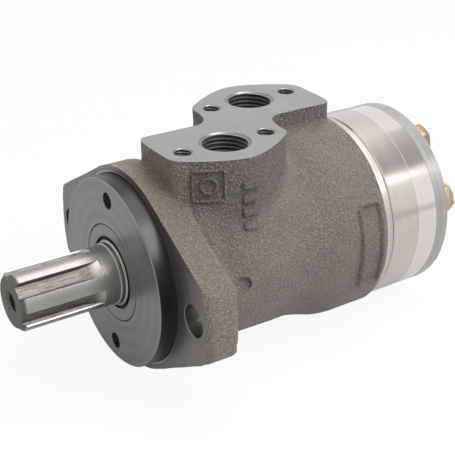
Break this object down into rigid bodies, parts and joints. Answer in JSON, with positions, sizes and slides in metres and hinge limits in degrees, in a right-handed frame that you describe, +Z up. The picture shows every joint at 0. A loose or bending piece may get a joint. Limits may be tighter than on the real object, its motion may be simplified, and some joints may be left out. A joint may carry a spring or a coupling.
{
  "type": "orbital hydraulic motor",
  "caption": "Orbital hydraulic motor with an oval mounting flange, a splined output shaft, two threaded ports on top and a bolted round gear set.",
  "frame": {"origin": "on the shaft axis, in the plane of the flange's mounting face", "axes": "-Y along the shaft towards its free end, +Y to the end cover, +Z up through the port face, +X to the side with port A"},
  "size_m": [0.1294, 0.2017, 0.0996],
  "materials": {
    "cast_body": "raw cast surface with fine grain, ground on the machined faces",
    "cover_steel": "fine turned, dark satin",
    "black_steel": "black oxide",
    "seal_rubber": "matt black",
    "bright_steel": "ground and polished",
    "cage_brass": "satin",
    "plain_steel": "turned",
    "ring_steel": "ground, bright",
    "end_steel": "turned, satin",
    "zinc_steel": "yellow zinc plate",
    "copper_washer": "soft copper colour"
  },
  "bodies": {
    "housing_group": {"housing": "cast_body", "front_cover": "cover_steel", "front_cover_screws": "black_steel", "front_cover_o_ring": "seal_rubber", "dust_cap": "cover_steel", "dust_seal": "seal_rubber", "shaft_seal": "seal_rubber", "front_race": "bright_steel", "check_seats": "plain_steel", "distributor_plate": "ring_steel", "gear_ring": "ring_steel", "end_cover": "end_steel", "end_cover_bolts": "zinc_steel", "bolt_washers": "zinc_steel", "body_o_rings": "seal_rubber", "drain_plug": "plain_steel", "drain_washer": "copper_washer"},
    "output": {"output_shaft": "bright_steel"},
    "bearing": {"needle_cage": "cage_brass", "thrust_needles": "bright_steel"},
    "orbit": {"spacer_disc": "plain_steel"},
    "star": {"rotor": "ring_steel"},
    "cardan": {"cardan_shaft": "plain_steel"},
    "ball_a": {"check_ball_a": "bright_steel"},
    "ball_b": {"check_ball_b": "bright_steel"}
  },
  "joints": [
    {"name": "output_shaft_spin", "type": "hinge", "parent": "housing_group", "child": "output", "pos_m": [0, 0, 0], "axis": [0, 1, 0], "continuous": true},
    {"name": "bearing_cage_spin", "type": "hinge", "parent": "housing_group", "child": "bearing", "pos_m": [0, 0, 0], "axis": [0, 1, 0], "continuous": true},
    {"name": "rotor_orbit", "type": "hinge", "parent": "housing_group", "child": "orbit", "pos_m": [0, 0, 0], "axis": [0, 1, 0], "continuous": true},
    {"name": "rotor_spin", "type": "hinge", "parent": "orbit", "child": "star", "pos_m": [0, 0, -0.0034], "axis": [0, 1, 0], "continuous": true},
    {"name": "cardan_spin", "type": "hinge", "parent": "orbit", "child": "cardan", "pos_m": [0, 0.057, 0], "axis": [0, 0.9988, -0.0481], "continuous": true},
    {"name": "check_ball_a_lift", "type": "slide", "parent": "housing_group", "child": "ball_a", "axis": [0, -1, 0], "range_m": [0, 0.0012]},
    {"name": "check_ball_b_lift", "type": "slide", "parent": "housing_group", "child": "ball_b", "axis": [0, -1, 0], "range_m": [0, 0.0012]}
  ],
  "couplings": [
    {"joint": "bearing_cage_spin", "follows": "output_shaft_spin", "ratio": 0.5},
    {"joint": "rotor_orbit", "follows": "output_shaft_spin", "ratio": -6},
    {"joint": "rotor_spin", "follows": "output_shaft_spin", "ratio": 7},
    {"joint": "cardan_spin", "follows": "output_shaft_spin", "ratio": 7}
  ]
}
